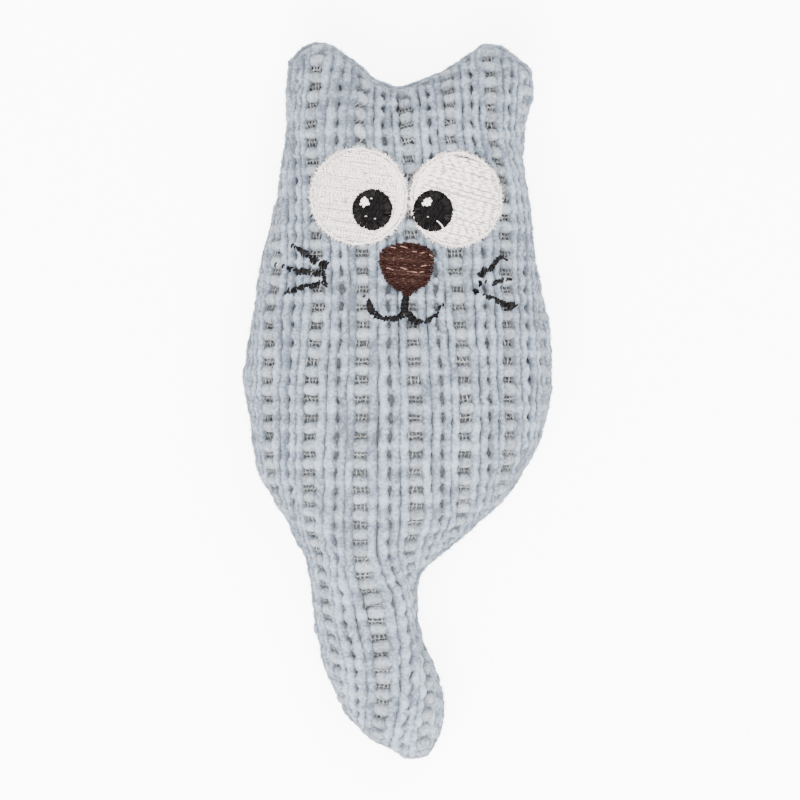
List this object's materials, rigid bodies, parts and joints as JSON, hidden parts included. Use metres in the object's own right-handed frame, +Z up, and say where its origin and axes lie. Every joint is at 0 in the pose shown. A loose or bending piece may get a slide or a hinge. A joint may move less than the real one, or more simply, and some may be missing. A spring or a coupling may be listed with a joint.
{
  "type": "stuffed catnip toy",
  "caption": "Cat-shaped stuffed toy of ribbed chenille knit with an embroidered face, ears at the top corners and a curved stuffed tail that sways at its root.",
  "frame": {"origin": "on the table under the middle of the toy, which lies on its back", "axes": "+Z up out of the face, +Y towards the ears, -Y towards the tail, +X to the right as one looks at the face"},
  "size_m": [0.0686, 0.1598, 0.0345],
  "materials": {
    "knit": "pale blue-grey heathered chenille yarn, ribbed knit, matt with a soft sheen",
    "filling": "white polyester fibre",
    "catnip": "dried crushed leaf",
    "muslin": "plain thin non-woven cloth",
    "sewing_thread": "pale grey polyester sewing thread",
    "white_thread": "off-white embroidery thread with a soft gloss",
    "black_thread": "black embroidery thread with a soft gloss",
    "brown_thread": "dark brown embroidery thread with a soft gloss"
  },
  "bodies": {
    "body": {"front_panel": "knit", "back_panel": "knit", "front_stuffing": "filling", "back_stuffing": "filling", "catnip_sachet_front": "muslin", "catnip_sachet_back": "muslin", "catnip_filling": "catnip", "embroidery_backing": "muslin", "body_seam_thread": "sewing_thread", "flank_seam_thread": "sewing_thread", "closing_stitch": "sewing_thread", "left_eye_edging": "white_thread", "left_eye_white": "white_thread", "left_pupil": "black_thread", "left_highlight": "white_thread", "left_whiskers": "black_thread", "right_eye_edging": "white_thread", "right_eye_white": "white_thread", "right_pupil": "black_thread", "right_highlight": "white_thread", "right_whiskers": "black_thread", "nose": "brown_thread", "mouth": "black_thread"},
    "tail": {"tail_front_panel": "knit", "tail_back_panel": "knit", "tail_stuffing": "filling", "tail_seam_thread": "sewing_thread"}
  },
  "joints": [
    {"name": "tail_sway", "type": "hinge", "parent": "body", "child": "tail", "pos_m": [-0.0076, -0.0402, 0.0115], "axis": [0, 0, 1], "range_deg": [-30, 30], "stiffness_Nm_per_rad": 0.01}
  ]
}
